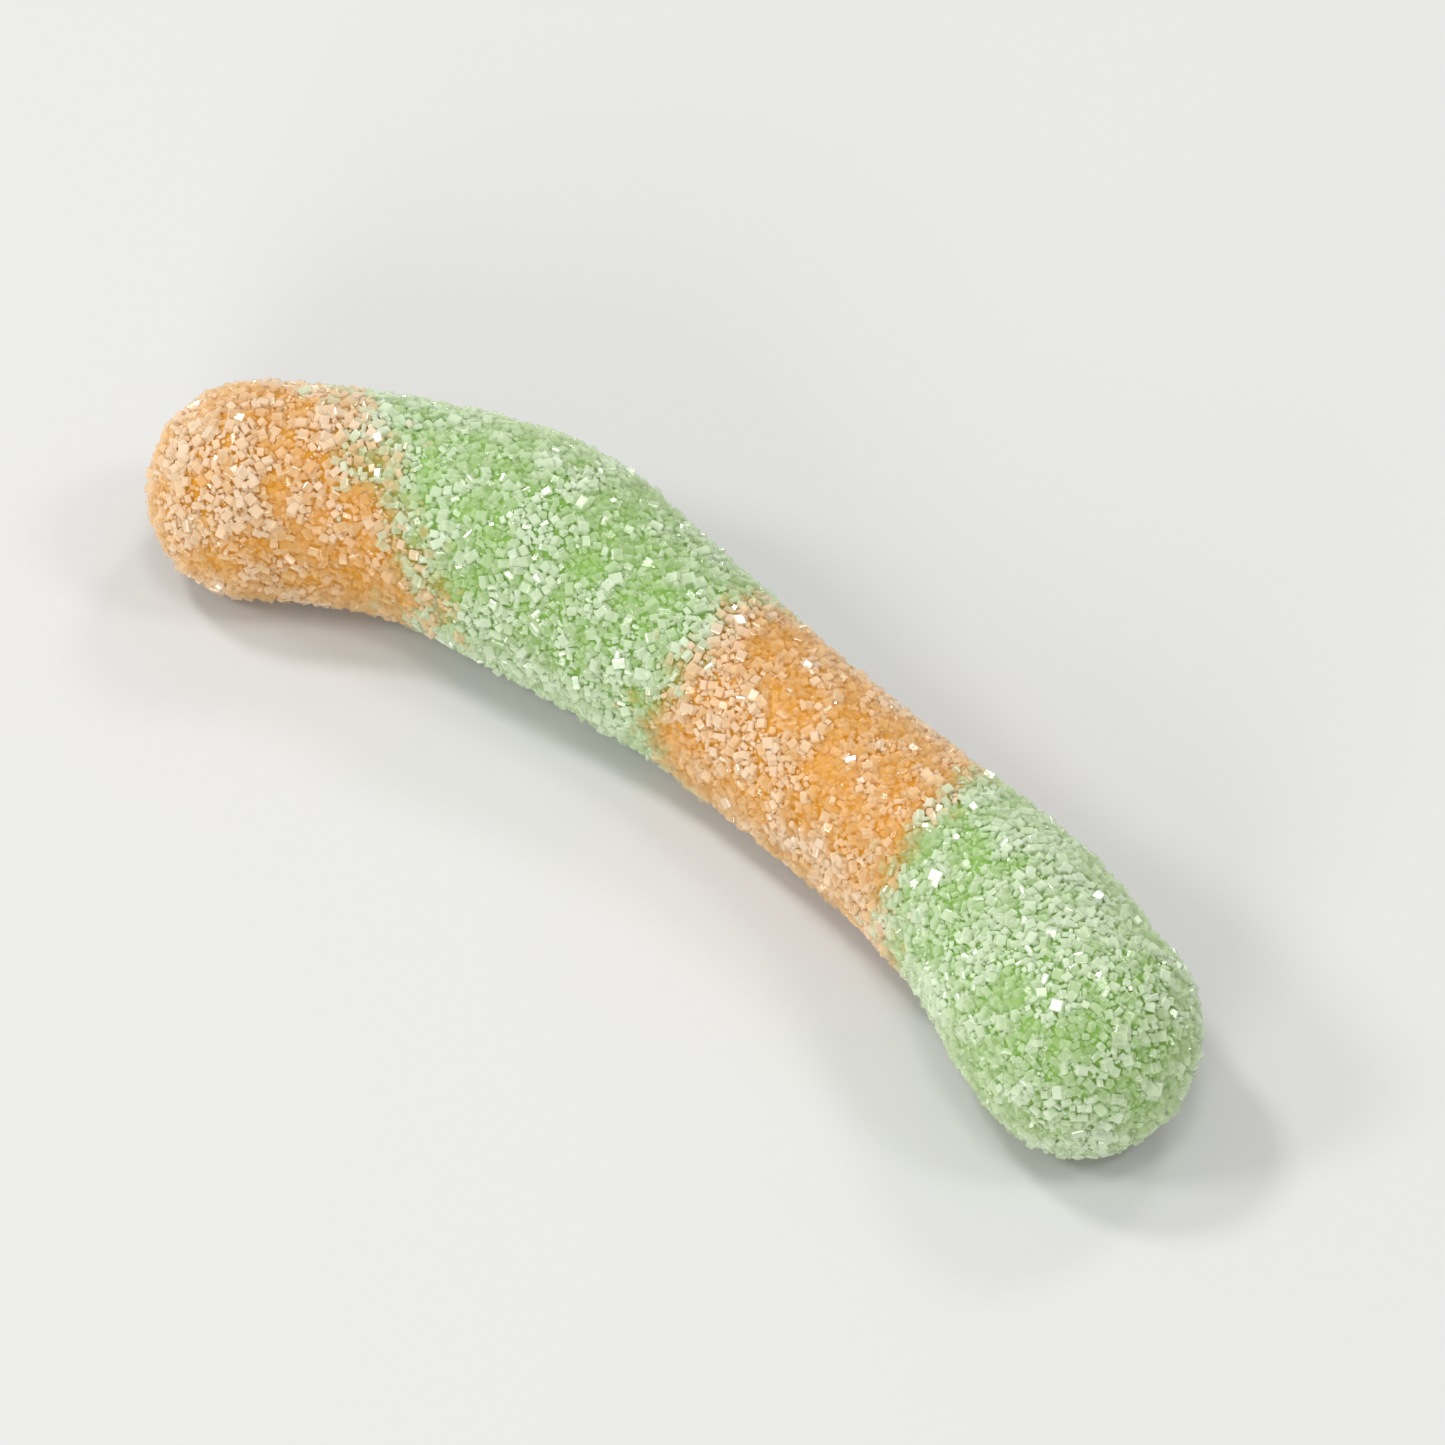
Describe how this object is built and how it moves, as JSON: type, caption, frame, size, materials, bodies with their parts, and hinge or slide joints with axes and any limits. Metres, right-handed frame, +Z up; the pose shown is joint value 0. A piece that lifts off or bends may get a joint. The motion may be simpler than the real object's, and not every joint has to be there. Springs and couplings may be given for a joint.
{
  "type": "gummy worm",
  "caption": "Sugar-coated gummy worm, a soft curved sweet of fruit gel in bands of orange and green, lying on its flat side.",
  "frame": {"origin": "middle of the worm's bounding box, on the surface that it lies on", "axes": "+X from the tail to the head, +Z up, away from the flat underside"},
  "size_m": [0.0712, 0.0194, 0.0118],
  "materials": {
    "orange_gel": "matte",
    "green_gel": "matte",
    "sugar_crystals": "gloss"
  },
  "bodies": {
    "root": {"gel_orange_tail": "orange_gel", "gel_green_middle": "green_gel", "gel_orange_middle": "orange_gel", "gel_green_head": "green_gel"}
  },
  "joints": []
}
